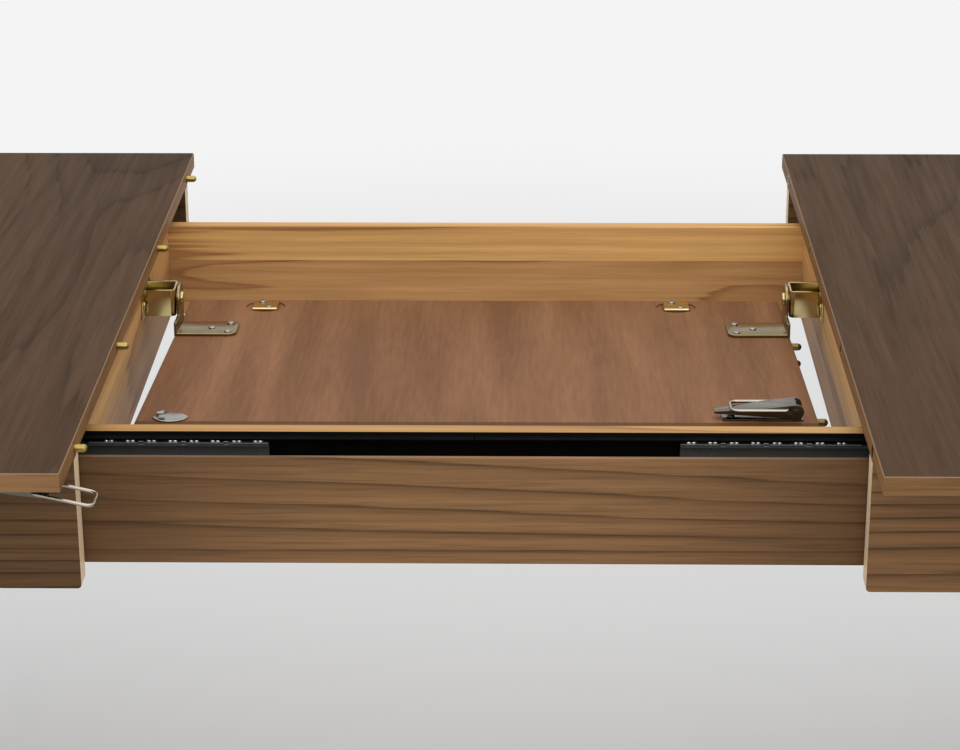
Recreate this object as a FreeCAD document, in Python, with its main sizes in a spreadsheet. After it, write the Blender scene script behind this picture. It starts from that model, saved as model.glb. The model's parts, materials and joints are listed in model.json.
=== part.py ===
import FreeCAD, Part
import math
import os
import re
from FreeCAD import Placement, Rotation, Vector

# A split-top extension table, pulled open, with its folding leaf stored in the middle frame.
# X runs along the table, Y across it (+Y is the back) and Z up from the floor.
# The origin is on the floor, under the middle of the table.

# Driving dimensions, in millimetres and degrees
SIZES = {
    # Tops
    "table_height": 750, "top_depth": 900, "half_length": 800, "top_thickness": 16.5,
    "edge_ease": 1.2, "closed_gap": 0.5,
    # Aprons, legs and corner braces
    "apron_setback": 66, "apron_thickness": 21, "apron_height": 115.5, "apron_corner": 3.5,
    "leg_width": 62, "leg_foot_width": 36, "leg_proud": 3, "leg_block_extra": 18,
    "glide_radius": 13, "glide_height": 6, "brace_reach": 95, "brace_thickness": 20, "brace_height": 60,
    # Middle frame
    "frame_length": 666, "frame_lap": 8, "frame_setback": 175, "frame_drop": 12.5, "frame_height": 97,
    "rail_thickness": 15, "cross_rail_thickness": 20,
    "fascia_thickness": 4.5, "fascia_height": 95.5, "fascia_drop": 7, "back_fascia_height": 62,
    "fascia_clearance": 3,
    "spacer_height": 30, "spacer_lift": 10,
    # Ball-bearing slides
    "slide_end_gap": 1, "slide_height": 35, "slide_thickness": 12.7, "slide_drop": 3,
    "slide_middle_gap": 12, "channel_middle_gap": 0.5, "slide_sheet": 1.2, "channel_depth": 9.4,
    "mid_height": 24, "mid_stand": 3, "mid_depth": 7, "bar_height": 21, "bar_depth": 6.7,
    "ball_clearance": 0.15, "ball_pitch": 18.1, "ball_pair_spacing": 4.4, "cage_end_gap": 5,
    "cage_sheet": 0.8, "cage_width": 4.6, "cage_drop": 0.9,
    "cage_notch_length": 4, "cage_notch_depth": 3,
    "runner_thickness": 36, "runner_height": 44, "runner_recess": 30,
    # Leaf
    "leaf_side_gap": 33, "leaf_tilt": 4.2, "leaf_face_gap": 0.6, "pivot_drop": 28, "pivot_back": 95,
    # Locating pins and their bushes
    "pin_radius": 3.5, "pin_reach": 11, "pin_depth": 20, "pin_near": 139, "pin_side_inset": 72,
    "pin_clearance": 0.35, "bush_radius": 5.2, "bush_depth": 16, "seat_clearance": 0.05,
    # Leaf pivots
    "bracket_depth": 30, "bracket_height": 27, "bracket_sheet": 2, "bracket_bend": 5,
    "bracket_front": 17, "bracket_leaf_gap": 1, "bracket_tab": 13,
    "arm_sheet": 3, "arm_eye_radius": 15, "arm_foot_length": 60, "arm_foot_width": 44, "arm_foot_corner": 8,
    "arm_foot_forward": 41, "rivet_radius": 4, "rivet_head_radius": 6.5, "rivet_head_height": 2.5,
    "rivet_head_ease": 1.8,
    "running_clearance": 0.05,
    # Screw heads
    "screw_head_radius": 3.4, "screw_head_height": 1.4, "screw_head_ease": 0.8,
    # Fold hinges
    "hinge_side_inset": 92, "hinge_shift": 13, "hinge_recess_radius": 20, "hinge_recess_depth": 1.5,
    "hinge_inset": 25, "hinge_body_width": 26, "hinge_body_length": 29, "hinge_rise": 2.4,
    "hinge_body_ease": 1.5, "hinge_screw_spacing": 19, "hinge_screw_offset": 4,
    "hinge_cup_radius": 13, "hinge_cup_depth": 11,
    "link_inner_radius": 6, "link_outer_radius": 9, "link_width": 12, "link_start": 97, "link_sweep": 23,
    "link_slot_depth": 8.4, "link_slot_low": 2.2, "link_slot_high": 9.6, "link_clearance": 0.4,
    # Draw latches and strikes
    "front_latch_inset": 37, "back_latch_inset": 49, "back_strike_inset": 52,
    "leaf_strike_inset": 53, "leaf_latch_inset": 59, "latch_base_start": 13, "latch_base_length": 71,
    "latch_screw_in": 76, "latch_base_width": 19.2,
    "latch_base_sheet": 1.6, "lever_pivot_in": 20, "lever_pivot_up": 9, "lever_pin_radius": 2,
    "ear_radius": 5, "ear_sheet": 1.6, "lever_width": 23.2, "lever_sheet": 1.4, "lever_nose_radius": 7,
    "lever_length": 71, "lever_tip_width": 9, "lever_tip_height": 7.6, "lever_tip_bottom": 5.4,
    "lever_heel": 16, "lever_heel_up": 4.4, "lever_shoulder": 26, "lever_hollow_end": 8,
    "lever_rivet_radius": 3, "lever_rivet_head": 0.8,
    "bail_pivot_in": 27, "bail_pivot_up": 11, "bail_wire_radius": 1.5, "bail_width": 28.4,
    "bail_length": 49.5, "bail_corner": 7, "bail_elbow": 3, "bail_end_reach": 3.8, "front_bail_droop": 13,
    "back_bail_droop": 70,
    "strike_inset": 30, "strike_length": 32, "strike_width": 25, "strike_sheet": 1.5,
    "hook_inset": 18.5, "hook_sheet": 2, "hook_width": 8, "hook_height": 6.4, "hook_lip": 6.5,
    # One overrun serves every cut
    "overrun": 2,
}

doc = FreeCAD.newDocument("extension_table")
sheet = doc.addObject("Spreadsheet::Sheet", "dims")
for row, (alias, number) in enumerate(SIZES.items(), start=1):
    sheet.set(f"A{row}", alias)
    sheet.set(f"B{row}", str(number))
    sheet.setAlias(f"B{row}", alias)
doc.recompute()

NODES = []
SIDES = {"left": -1, "right": 1}
FACES = {"front": -1, "back": 1}

# Levels and lines that several pieces share, as formulas of the sheet
UNDERSIDE = "(table_height - top_thickness)"
EDGE = "(frame_length / 2 - frame_lap)"
OUTER_END = f"({EDGE} + half_length)"
TRAVEL = f"({EDGE} - closed_gap / 2)"
RAIL_TOP = f"({UNDERSIDE} - frame_drop)"
RAIL_BOTTOM = f"({RAIL_TOP} - frame_height)"
RAIL_IN = "(top_depth / 2 - frame_setback)"
RAIL_OUT = f"({RAIL_IN} + rail_thickness)"
FRAME_END = "(frame_length / 2 + cross_rail_thickness)"
SLIDE_LENGTH = "(frame_length / 2 - slide_middle_gap - slide_end_gap)"
MID_START = f"({TRAVEL} / 2 + slide_middle_gap)"
CAGE_LENGTH = f"(frame_length / 2 - slide_end_gap - {MID_START} - cage_end_gap)"
SLIDE_OUT = f"({RAIL_OUT} + slide_thickness)"
SLIDE_TOP = f"({RAIL_TOP} - slide_drop)"
SLIDE_MIDDLE = f"({SLIDE_TOP} - slide_height / 2)"
APRON_OUT = "(top_depth / 2 - apron_setback)"
APRON_IN = f"({APRON_OUT} - apron_thickness)"
APRON_BOTTOM = f"({UNDERSIDE} - apron_height)"
FASCIA_OUT = f"({APRON_IN} - fascia_clearance)"
FASCIA_IN = f"({FASCIA_OUT} - fascia_thickness)"
FASCIA_BOTTOM = f"({UNDERSIDE} - fascia_drop - fascia_height)"
LEG_OUT = f"({APRON_OUT} + leg_proud)"
LEG_END = f"({OUTER_END} - apron_setback + leg_proud)"
LATCH_LINES = {"front": "(top_depth / 2 - front_latch_inset)", "back": "(top_depth / 2 - back_latch_inset)"}
STRIKE_LINES = {"front": LATCH_LINES["front"], "back": "(top_depth / 2 - back_strike_inset)"}
# Half A unfolds to the back of the table and half B to the front
LEAF_LATCH_LINES = {"a": "(top_depth / 2 - leaf_latch_inset)", "b": LATCH_LINES["front"]}
LEAF_STRIKE_LINES = {"a": "(top_depth / 2 - leaf_strike_inset)", "b": LATCH_LINES["front"]}
PIVOT_HEIGHT = f"({UNDERSIDE} - pivot_drop)"

# The leaf's own lines, from its pivot: its y runs to the fold edge and its z out of the upper face
LEAF_FACE = "(-pivot_drop)"
FOLD_PLANE = "(-pivot_drop - top_thickness - leaf_face_gap / 2)"
FOLD_EDGE = "(pivot_back - leaf_face_gap / 2)"
FAR_EDGE = "(pivot_back - top_depth / 2)"
LOWER_FACE = "(-pivot_drop - 2 * top_thickness - leaf_face_gap)"
LEAF_EDGE = "(frame_length / 2 - leaf_side_gap)"
PIN_FAR = "(top_depth / 2 - pin_side_inset)"
HINGE_LINE = f"({LEAF_EDGE} - hinge_side_inset)"


def size(alias):
    """Read one driving dimension from the sheet."""
    return float(sheet.get(alias))


def formula(text):
    """Put the sheet's name before each alias in a formula."""
    return re.sub(r"[a-z_]+",
                  lambda word: "dims." + word.group() if word.group() in SIZES else word.group(),
                  str(text))


def bind(obj, **formulas):
    """Bind properties of an object to formulas; a double underscore stands for a dot."""
    for name, text in formulas.items():
        obj.setExpression(name.replace("__", "."), formula(text))
    return obj


def put(obj, x="0", y="0", z="0"):
    """Bind an object's place."""
    return bind(obj, Placement__Base__x=x, Placement__Base__y=y, Placement__Base__z=z)


def turned(obj, axis, angle):
    """Turn an object about one axis by a fixed angle, before its place is bound."""
    obj.Placement = Placement(Vector(), Rotation(axis, angle))
    return obj


def mirrored(sign, span):
    """A span on the positive side, or its mirror image."""
    low, high = span
    return span if sign > 0 else (f"-({high})", f"-({low})")


def block(name, across, along, up):
    """A box between pairs of formulas along X, Y and Z."""
    box = doc.addObject("Part::Box", name)
    for side, (low, high) in zip(("Length", "Width", "Height"), (across, along, up)):
        box.setExpression(side, formula(f"({high}) - ({low})"))
    return put(box, across[0], along[0], up[0])


def rod(name, radius, axis, span, centre):
    """A cylinder along one axis over a span, at its centre on the other two axes."""
    cylinder = doc.addObject("Part::Cylinder", name)
    low, high = span
    bind(cylinder, Radius=radius, Height=f"({high}) - ({low})")
    if axis == "x":
        turned(cylinder, Vector(0, 1, 0), 90)
        return put(cylinder, low, *centre)
    if axis == "y":
        turned(cylinder, Vector(1, 0, 0), -90)
        return put(cylinder, centre[0], low, centre[1])
    return put(cylinder, centre[0], centre[1], low)


def ball(name, radius, centre):
    """A sphere at its centre."""
    sphere = doc.addObject("Part::Sphere", name)
    bind(sphere, Radius=radius)
    return put(sphere, *centre)


def group(name, pieces):
    """Separate pieces in one object."""
    compound = doc.addObject("Part::Compound", name)
    compound.Links = pieces
    return compound


def fuse(name, pieces):
    """Pieces joined into one solid."""
    union = doc.addObject("Part::MultiFuse", name)
    union.Shapes = pieces
    return union


def cut(name, base, tools):
    """A piece with others cut from it."""
    difference = doc.addObject("Part::Cut", name)
    difference.Base = base
    difference.Tool = tools[0] if len(tools) == 1 else group(name + "_tools", tools)
    return difference


def ease(name, base, alias, wanted=lambda edge: True):
    """A piece with chosen edges rounded to a named radius."""
    doc.recompute()
    rounded = doc.addObject("Part::Fillet", name)
    rounded.Base = base
    radius = size(alias)
    rounded.Edges = [(index, radius, radius) for index, edge in enumerate(base.Shape.Edges, start=1)
                     if wanted(edge)]
    return rounded


def shaped(name, shape):
    """An object that holds a shape worked out here from the sheet's sizes."""
    feature = doc.addObject("Part::Feature", name)
    feature.Shape = shape
    return feature


def prism(points, depth, direction):
    """A flat outline pushed along a direction, half its depth to each side."""
    face = Part.Face(Part.makePolygon(points + points[:1]))
    face.translate(direction * (-depth / 2))
    return face.extrude(direction * depth)


def node(label, obj):
    """Register a finished sub-part under its own label."""
    obj.Label = label
    NODES.append(obj)
    return obj


def on_leaf(label, pieces):
    """A sub-part of the leaf, drawn about its pivot and laid at the stored tilt."""
    leaf_piece = turned(group(label + "_on_leaf", pieces), Vector(-1, 0, 0), size("leaf_tilt"))
    bind(leaf_piece, Placement__Rotation__Angle="leaf_tilt")
    put(leaf_piece, "0", "pivot_back", PIVOT_HEIGHT)
    return node(label, leaf_piece)


# Tops with their locating pins or bushes
def pin(name, sign, edge, y, z):
    """A locating pin that stands out of an edge, with a round nose; sign is the way it points."""
    start = f"({edge}) - ({sign} * pin_depth)"
    shoulder = f"({edge}) + ({sign} * (pin_reach - pin_radius))"
    span = (start, shoulder) if sign > 0 else (shoulder, start)
    shank = rod(name + "_shank", "pin_radius", "x", span, (y, z))
    nose = ball(name + "_nose", "pin_radius", (shoulder, y, z))
    return fuse(name, [shank, nose])


def pin_seat(name, sign, edge, y, z):
    """The blind hole that a pin is driven into."""
    far = f"({edge}) - ({sign} * pin_depth)"
    mouth = f"({edge}) + ({sign} * overrun)"
    span = (far, mouth) if sign > 0 else (mouth, far)
    return rod(name, "pin_radius + seat_clearance", "x", span, (y, z))


def bush(name, sign, edge, y, z):
    """A flush sleeve that takes a pin; sign is the way its mouth points."""
    far = f"({edge}) - ({sign} * bush_depth)"
    span = (far, edge) if sign > 0 else (edge, far)
    deep = (f"({far}) - overrun", f"({edge}) + overrun") if sign > 0 else (f"({edge}) - overrun",
                                                                           f"({far}) + overrun")
    sleeve = rod(name + "_sleeve", "bush_radius", "x", span, (y, z))
    bore = rod(name + "_bore", "pin_radius + pin_clearance", "x", deep, (y, z))
    return cut(name, sleeve, [bore])


def bush_seat(name, sign, edge, y, z):
    """The blind hole that a bush sits in."""
    far = f"({edge}) - ({sign} * (bush_depth + seat_clearance))"
    mouth = f"({edge}) + ({sign} * overrun)"
    span = (far, mouth) if sign > 0 else (mouth, far)
    return rod(name, "bush_radius + seat_clearance", "x", span, (y, z))


PIN_LINES = (f"-{PIN_FAR}", "-pin_near", "pin_near", PIN_FAR)


def build_top(side, sign):
    """One half of the top, and what locates it."""
    across = mirrored(sign, (EDGE, OUTER_END))
    board = block(f"{side}_board", across, ("-top_depth / 2", "top_depth / 2"), (UNDERSIDE, "table_height"))
    board = ease(f"{side}_board_eased", board, "edge_ease")
    level = "table_height - top_thickness / 2"
    edge = f"{sign} * {EDGE}"
    seat, insert = (pin_seat, pin) if side == "left" else (bush_seat, bush)
    seats = [seat(f"{side}_seat", -sign, edge, y, level) for y in PIN_LINES]
    inserts = [insert(f"{side}_insert", -sign, edge, y, level) for y in PIN_LINES]
    node(f"{side}_top", cut(f"{side}_top_drilled", board, seats))
    node("left_locating_pins" if side == "left" else "right_pin_bushes", group(f"{side}_inserts", inserts))


# Aprons, legs and braces under each half
def build_apron(side, sign, face, fsign):
    """A long apron, flush with the split edge, its lower corner there rounded."""
    across = mirrored(sign, (EDGE, f"{LEG_END} - leg_width"))
    along = mirrored(fsign, (APRON_IN, APRON_OUT))
    board = block(f"{side}_{face}_apron_board", across, along, (APRON_BOTTOM, UNDERSIDE))
    split = sign * (size("frame_length") / 2 - size("frame_lap"))
    low = size("table_height") - size("top_thickness") - size("apron_height")

    def lower_split_corner(edge):
        points = [vertex.Point for vertex in edge.Vertexes]
        return all(abs(p.x - split) < size("seat_clearance") and abs(p.z - low) < size("seat_clearance")
                   for p in points)

    node(f"{side}_{face}_apron", ease(f"{side}_{face}_apron_rounded", board, "apron_corner",
                                      lower_split_corner))


def build_leg(side, sign, face, fsign):
    """A square leg: a straight block beside the aprons, then a taper on its two inner faces."""
    block_bottom = f"({APRON_BOTTOM} - leg_block_extra)"
    across = mirrored(sign, (f"{LEG_END} - leg_width", LEG_END))
    along = mirrored(fsign, (f"{LEG_OUT} - leg_width", LEG_OUT))
    head = block(f"{side}_{face}_leg_head", across, along, (block_bottom, UNDERSIDE))
    taper = doc.addObject("Part::Wedge", f"{side}_{face}_leg_taper")
    foot_x = mirrored(sign, (f"{LEG_END} - leg_foot_width", LEG_END))
    foot_y = mirrored(fsign, (f"{LEG_OUT} - leg_foot_width", LEG_OUT))
    # The wedge tapers along its own Y, so it is turned to taper downwards: its Z becomes minus Y
    turned(taper, Vector(1, 0, 0), 90)
    bind(taper, Ymin="glide_height", Ymax=block_bottom,
         Xmin=foot_x[0], Xmax=foot_x[1], X2min=across[0], X2max=across[1],
         Zmin=f"-({foot_y[1]})", Zmax=f"-({foot_y[0]})", Z2min=f"-({along[1]})", Z2max=f"-({along[0]})")
    whole = fuse(f"{side}_{face}_leg_whole", [head, taper])
    whole.Refine = True
    node(f"{side}_{face}_leg", whole)


def build_understructure(side, sign):
    """The end apron, corner braces and floor glides of one half."""
    end = mirrored(sign, (f"{OUTER_END} - apron_setback - apron_thickness", f"{OUTER_END} - apron_setback"))
    inner = f"({LEG_OUT} - leg_width)"
    node(f"{side}_end_apron", block(f"{side}_end_apron_board", end, (f"-{inner}", inner),
                                    (APRON_BOTTOM, UNDERSIDE)))
    braces = []
    glides = []
    corner_x = (size("frame_length") / 2 - size("frame_lap") + size("half_length") - size("apron_setback")
                - size("apron_thickness"))
    corner_y = size("top_depth") / 2 - size("apron_setback") - size("apron_thickness")
    near = size("brace_reach")
    far = near + size("brace_thickness") * math.sqrt(2)
    middle = size("table_height") - size("top_thickness") - size("brace_height") / 2
    for face, fsign in FACES.items():
        outline = [Vector(sign * (corner_x - a), fsign * (corner_y - b), middle)
                   for a, b in ((near, 0), (far, 0), (0, far), (0, near))]
        braces.append(shaped(f"{side}_{face}_brace", prism(outline, size("brace_height"), Vector(0, 0, 1))))
        glides.append(rod(f"{side}_{face}_glide", "glide_radius", "z", ("0", "glide_height"),
                          (f"{sign} * ({LEG_END} - leg_foot_width / 2)",
                           f"{fsign} * ({LEG_OUT} - leg_foot_width / 2)")))
    node(f"{side}_corner_braces", group(f"{side}_braces", braces))
    node(f"{side}_floor_glides", group(f"{side}_glides", glides))


# Slides: a channel on the frame, a middle member, a ball cage and a bar on each half's runner
def build_runners(side, sign):
    """The battens under one half, and the slide bars screwed to them."""
    runners = []
    bars = []
    start = f"({EDGE} + runner_recess)"
    bar_start = f"({TRAVEL} + slide_middle_gap)"
    bar_span = mirrored(sign, (bar_start, f"{bar_start} + {SLIDE_LENGTH}"))
    for face, fsign in FACES.items():
        runners.append(block(f"{side}_{face}_runner_batten", mirrored(sign,
                                                                      (start, f"{start} + {SLIDE_LENGTH}")),
                             mirrored(fsign, (SLIDE_OUT, f"{SLIDE_OUT} + runner_thickness")),
                             (f"{UNDERSIDE} - runner_height", UNDERSIDE)))
        whole = block(f"{side}_{face}_bar_whole", bar_span, mirrored(fsign,
                                                                     (f"{SLIDE_OUT} - bar_depth",
                                                                      SLIDE_OUT)),
                      (f"{SLIDE_MIDDLE} - bar_height / 2", f"{SLIDE_MIDDLE} + bar_height / 2"))
        groove = block(f"{side}_{face}_bar_groove", (f"({bar_span[0]}) - overrun",
                                                     f"({bar_span[1]}) + overrun"),
                       mirrored(fsign, (f"{SLIDE_OUT} - bar_depth - overrun",
                                        f"{SLIDE_OUT} - slide_sheet")),
                       (f"{SLIDE_MIDDLE} - bar_height / 2 + slide_sheet",
                        f"{SLIDE_MIDDLE} + bar_height / 2 - slide_sheet"))
        bars.append(cut(f"{side}_{face}_bar", whole, [groove]))
    node(f"{side}_runners", group(f"{side}_runner_pair", runners))
    node(f"{side}_slide_bars", group(f"{side}_bar_pair", bars))


def trough(name, across, fsign, base, depth, height):
    """A slide member of sheet metal: a web against base and two lips that reach out by depth."""
    whole = block(name + "_whole", across, mirrored(fsign, (base, f"{base} + {depth}")),
                  (f"{SLIDE_MIDDLE} - {height} / 2", f"{SLIDE_MIDDLE} + {height} / 2"))
    hollow = block(name + "_hollow", (f"({across[0]}) - overrun", f"({across[1]}) + overrun"),
                   mirrored(fsign, (f"{base} + slide_sheet", f"{base} + {depth} + overrun")),
                   (f"{SLIDE_MIDDLE} - {height} / 2 + slide_sheet",
                    f"{SLIDE_MIDDLE} + {height} / 2 - slide_sheet"))
    return cut(name, whole, [hollow])


def build_slides():
    """Four slides, end to end in pairs along the front and back rails."""
    channels = []
    ball_radius = "((slide_height - 2 * slide_sheet - mid_height) / 4 - ball_clearance)"
    ball_rise = "((slide_height / 2 - slide_sheet + mid_height / 2) / 2)"
    cage_line = f"({RAIL_OUT} + mid_stand + mid_depth / 2)"
    travel = size("frame_length") / 2 - size("frame_lap") - size("closed_gap") / 2
    room = (size("frame_length") / 2 - size("slide_end_gap") - travel / 2 - size("slide_middle_gap")
            - size("cage_end_gap"))
    pairs = int(room // size("ball_pitch"))
    for side, sign in SIDES.items():
        mids = []
        cages = []
        channel_span = mirrored(sign, ("channel_middle_gap", "frame_length / 2 - slide_end_gap"))
        mid_span = mirrored(sign, (MID_START, f"{MID_START} + {SLIDE_LENGTH}"))
        cage_span = mirrored(sign, (MID_START, f"{MID_START} + {CAGE_LENGTH}"))
        for face, fsign in FACES.items():
            place = f"{side}_{face}"
            channels.append(trough(f"{place}_channel", channel_span, fsign, RAIL_OUT, "channel_depth",
                                   "slide_height"))
            mids.append(trough(f"{place}_mid", mid_span, fsign, f"({RAIL_OUT} + mid_stand)", "mid_depth",
                               "mid_height"))
            for level in (1, -1):
                height = f"({SLIDE_MIDDLE} + {level} * {ball_rise})"
                strip_level = (f"{height} - cage_drop - cage_sheet / 2",
                               f"{height} - cage_drop + cage_sheet / 2")
                outer = f"({cage_line} + cage_width / 2)"
                strip = block(f"{place}_strip", cage_span,
                              mirrored(fsign, (f"{cage_line} - cage_width / 2", outer)), strip_level)
                notches = []
                for number in range(2, pairs, 2):
                    middle = f"{MID_START} + ball_pitch * {number}"
                    notches.append(block(f"{place}_notch",
                                         mirrored(sign, (f"{middle} - cage_notch_length / 2",
                                                         f"{middle} + cage_notch_length / 2")),
                                         mirrored(fsign, (f"{outer} - cage_notch_depth",
                                                          f"{outer} + overrun")), strip_level))
                pieces = [cut(f"{place}_notched_strip", strip, notches)]
                for number in range(pairs):
                    for step in (-1, 1):
                        along = (f"({MID_START} + ball_pitch * ({number} + 1 / 2)"
                                 f" + {step} * ball_pair_spacing / 2)")
                        pieces.append(ball(f"{place}_ball", ball_radius,
                                           (f"{sign} * {along}", f"{fsign} * {cage_line}", height)))
                cages.append(fuse(f"{place}_cage", pieces))
        node(f"{side}_slide_middles", group(f"{side}_mid_pair", mids))
        node(f"{side}_ball_cages", group(f"{side}_cage_set", cages))
    node("slide_channels", group("channel_set", channels))


# Middle frame
def build_frame():
    """The light-wood box, its veneered fascias and the spacers between them."""
    long_span = (f"-{FRAME_END}", FRAME_END)
    height = (RAIL_BOTTOM, RAIL_TOP)
    spacers = []
    # The back fascia stays below the line of sight over the rails
    fascia_heights = {"front": "fascia_height", "back": "back_fascia_height"}
    for face, fsign in FACES.items():
        node(f"{face}_frame_rail", block(f"{face}_rail_board", long_span,
                                         mirrored(fsign, (RAIL_IN, RAIL_OUT)), height))
        node(f"{face}_fascia", block(f"{face}_fascia_board", long_span,
                                     mirrored(fsign, (FASCIA_IN, FASCIA_OUT)),
                                     (FASCIA_BOTTOM, f"{FASCIA_BOTTOM} + {fascia_heights[face]}")))
        spacers.append(block(f"{face}_spacer", long_span, mirrored(fsign, (RAIL_OUT, FASCIA_IN)),
                             (f"{FASCIA_BOTTOM} + spacer_lift",
                              f"{FASCIA_BOTTOM} + spacer_lift + spacer_height")))
    for side, sign in SIDES.items():
        node(f"{side}_cross_rail", block(f"{side}_cross_board",
                                         mirrored(sign, ("frame_length / 2", FRAME_END)),
                                         (f"-{RAIL_IN}", RAIL_IN), height))
    node("fascia_spacers", group("spacer_pair", spacers))


# Leaf pivots
def domed_head(name, kind, centre, axis="z", sign=1):
    """A low round head of a screw or rivet that sits on a face and points along one axis."""
    x, y, z = centre
    height = f"{kind}_head_height"
    level, others = (x, (y, z)) if axis == "x" else (z, (x, y))
    span = (level, f"({level}) + {height}") if sign > 0 else (f"({level}) - {height}", level)
    head = rod(name + "_disc", f"{kind}_head_radius", axis, span, others)
    doc.recompute()
    middle = head.Shape.CenterOfMass
    outward = Vector(sign, 0, 0) if axis == "x" else Vector(0, 0, sign)
    return ease(name, head, f"{kind}_head_ease",
                lambda edge: len(edge.Vertexes) == 1 and (edge.CenterOfMass - middle).dot(outward) > 0)


def build_pivots():
    """Box brackets with screw tabs on the cross rails, and the rivets and screws in them."""
    brackets = []
    fixings = []
    front = "(pivot_back - bracket_front)"
    back = f"({front} + bracket_depth)"
    for side, sign in SIDES.items():
        inner = f"({LEAF_EDGE} + bracket_leaf_gap)"
        seat = "(frame_length / 2 - bracket_sheet)"
        height = (f"{PIVOT_HEIGHT} - bracket_height / 2", f"{PIVOT_HEIGHT} + bracket_height / 2")
        whole = block(f"{side}_bracket_whole", mirrored(sign, (inner, "frame_length / 2")), (front, back),
                      height)
        whole = ease(f"{side}_bracket_bent", whole, "bracket_bend",
                     lambda edge: edge.BoundBox.XLength + edge.BoundBox.YLength < size("seat_clearance"))
        foot = block(f"{side}_bracket_foot", mirrored(sign, (seat, "frame_length / 2")),
                     (f"{front} - bracket_tab", f"{back} + bracket_tab"), height)
        inside = block(f"{side}_bracket_inside", mirrored(sign, (f"{inner} + bracket_sheet", seat)),
                       (f"{front} + bracket_sheet", f"{back} - bracket_sheet"),
                       (f"{height[0]} - overrun", f"{height[1]} + overrun"))
        axis_at = ("pivot_back", PIVOT_HEIGHT)
        hole = rod(f"{side}_bracket_hole", "rivet_radius + seat_clearance", "x",
                   mirrored(sign, (f"{inner} - overrun", f"{inner} + bracket_sheet + overrun")), axis_at)
        brackets.append(cut(f"{side}_bracket", fuse(f"{side}_bracket_shell", [whole, foot]),
                            [inside, hole]))
        arm_inner = f"({LEAF_EDGE} - arm_sheet)"
        shank = rod(f"{side}_rivet_shank", "rivet_radius", "x",
                    mirrored(sign, (f"{arm_inner} - rivet_head_height",
                                    f"{inner} + bracket_sheet + rivet_head_height")), axis_at)
        heads = [domed_head(f"{side}_rivet_head", "rivet", (f"{sign} * ({at})", *axis_at), "x", way * sign)
                 for at, way in ((f"{arm_inner} - running_clearance", -1), (f"{inner} + bracket_sheet", 1))]
        fixings.append(fuse(f"{side}_rivet", [shank] + heads))
        for y in (f"{front} - bracket_tab / 2", f"{back} + bracket_tab / 2"):
            fixings.append(domed_head(f"{side}_bracket_screw", "screw",
                                      (f"{sign} * {seat}", y, PIVOT_HEIGHT),
                                      "x", -sign))
    node("pivot_brackets", group("bracket_pair", brackets))
    node("pivot_fixings", group("fixing_set", fixings))


def build_arms():
    """The L-shaped arms on the leaf: an upright eye that turns on the rivet, and a foot with its screws."""
    arms = []
    screws = []
    foot_y = ("-arm_foot_forward", "arm_foot_width - arm_foot_forward")
    face_level = f"({LEAF_FACE} + arm_sheet)"
    screw_shares = ((0.58, 0.46), (0.86, 0.16), (0.86, 0.84))
    for side, sign in SIDES.items():
        plate_x = mirrored(sign, (f"{LEAF_EDGE} - arm_sheet", LEAF_EDGE))
        sole = block(f"{side}_arm_sole", mirrored(sign, (f"{LEAF_EDGE} - arm_foot_length", LEAF_EDGE)),
                     foot_y,
                     (LEAF_FACE, face_level))
        far_end = sign * (size("frame_length") / 2 - size("leaf_side_gap") - size("arm_foot_length"))
        sole = ease(f"{side}_arm_sole_rounded", sole, "arm_foot_corner",
                    lambda edge: edge.BoundBox.XLength + edge.BoundBox.YLength < size("seat_clearance")
                    and abs(edge.CenterOfMass.x - far_end) < size("seat_clearance"))
        base = block(f"{side}_arm_base", plate_x, foot_y, (LEAF_FACE, f"{LEAF_FACE} / 2"))
        neck = block(f"{side}_arm_neck", plate_x, ("-arm_eye_radius", "arm_eye_radius"), (LEAF_FACE, "0"))
        eye = rod(f"{side}_arm_eye", "arm_eye_radius", "x", plate_x, ("0", "0"))
        hole = rod(f"{side}_arm_hole", "rivet_radius + running_clearance", "x",
                   (f"({plate_x[0]}) - overrun", f"({plate_x[1]}) + overrun"), ("0", "0"))
        arms.append(cut(f"{side}_arm", fuse(f"{side}_arm_whole", [sole, base, neck, eye]), [hole]))
        for along, over in screw_shares:
            screws.append(domed_head(f"{side}_arm_screw", "screw",
                                     (f"{sign} * ({LEAF_EDGE} - arm_foot_length * {along})",
                                     f"arm_foot_width * {over} - arm_foot_forward", face_level)))
    on_leaf("leaf_pivot_arms", arms)
    return screws


# Leaf halves: A lies uppermost with its underside up, B lies face to face beneath it
def under(face, out, deep, shallow):
    """The levels between two depths under a face that looks up, out 1, or down, out -1."""
    levels = [f"{face} - {out} * ({depth})" for depth in (deep, shallow)]
    return tuple(levels[::out])


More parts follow.
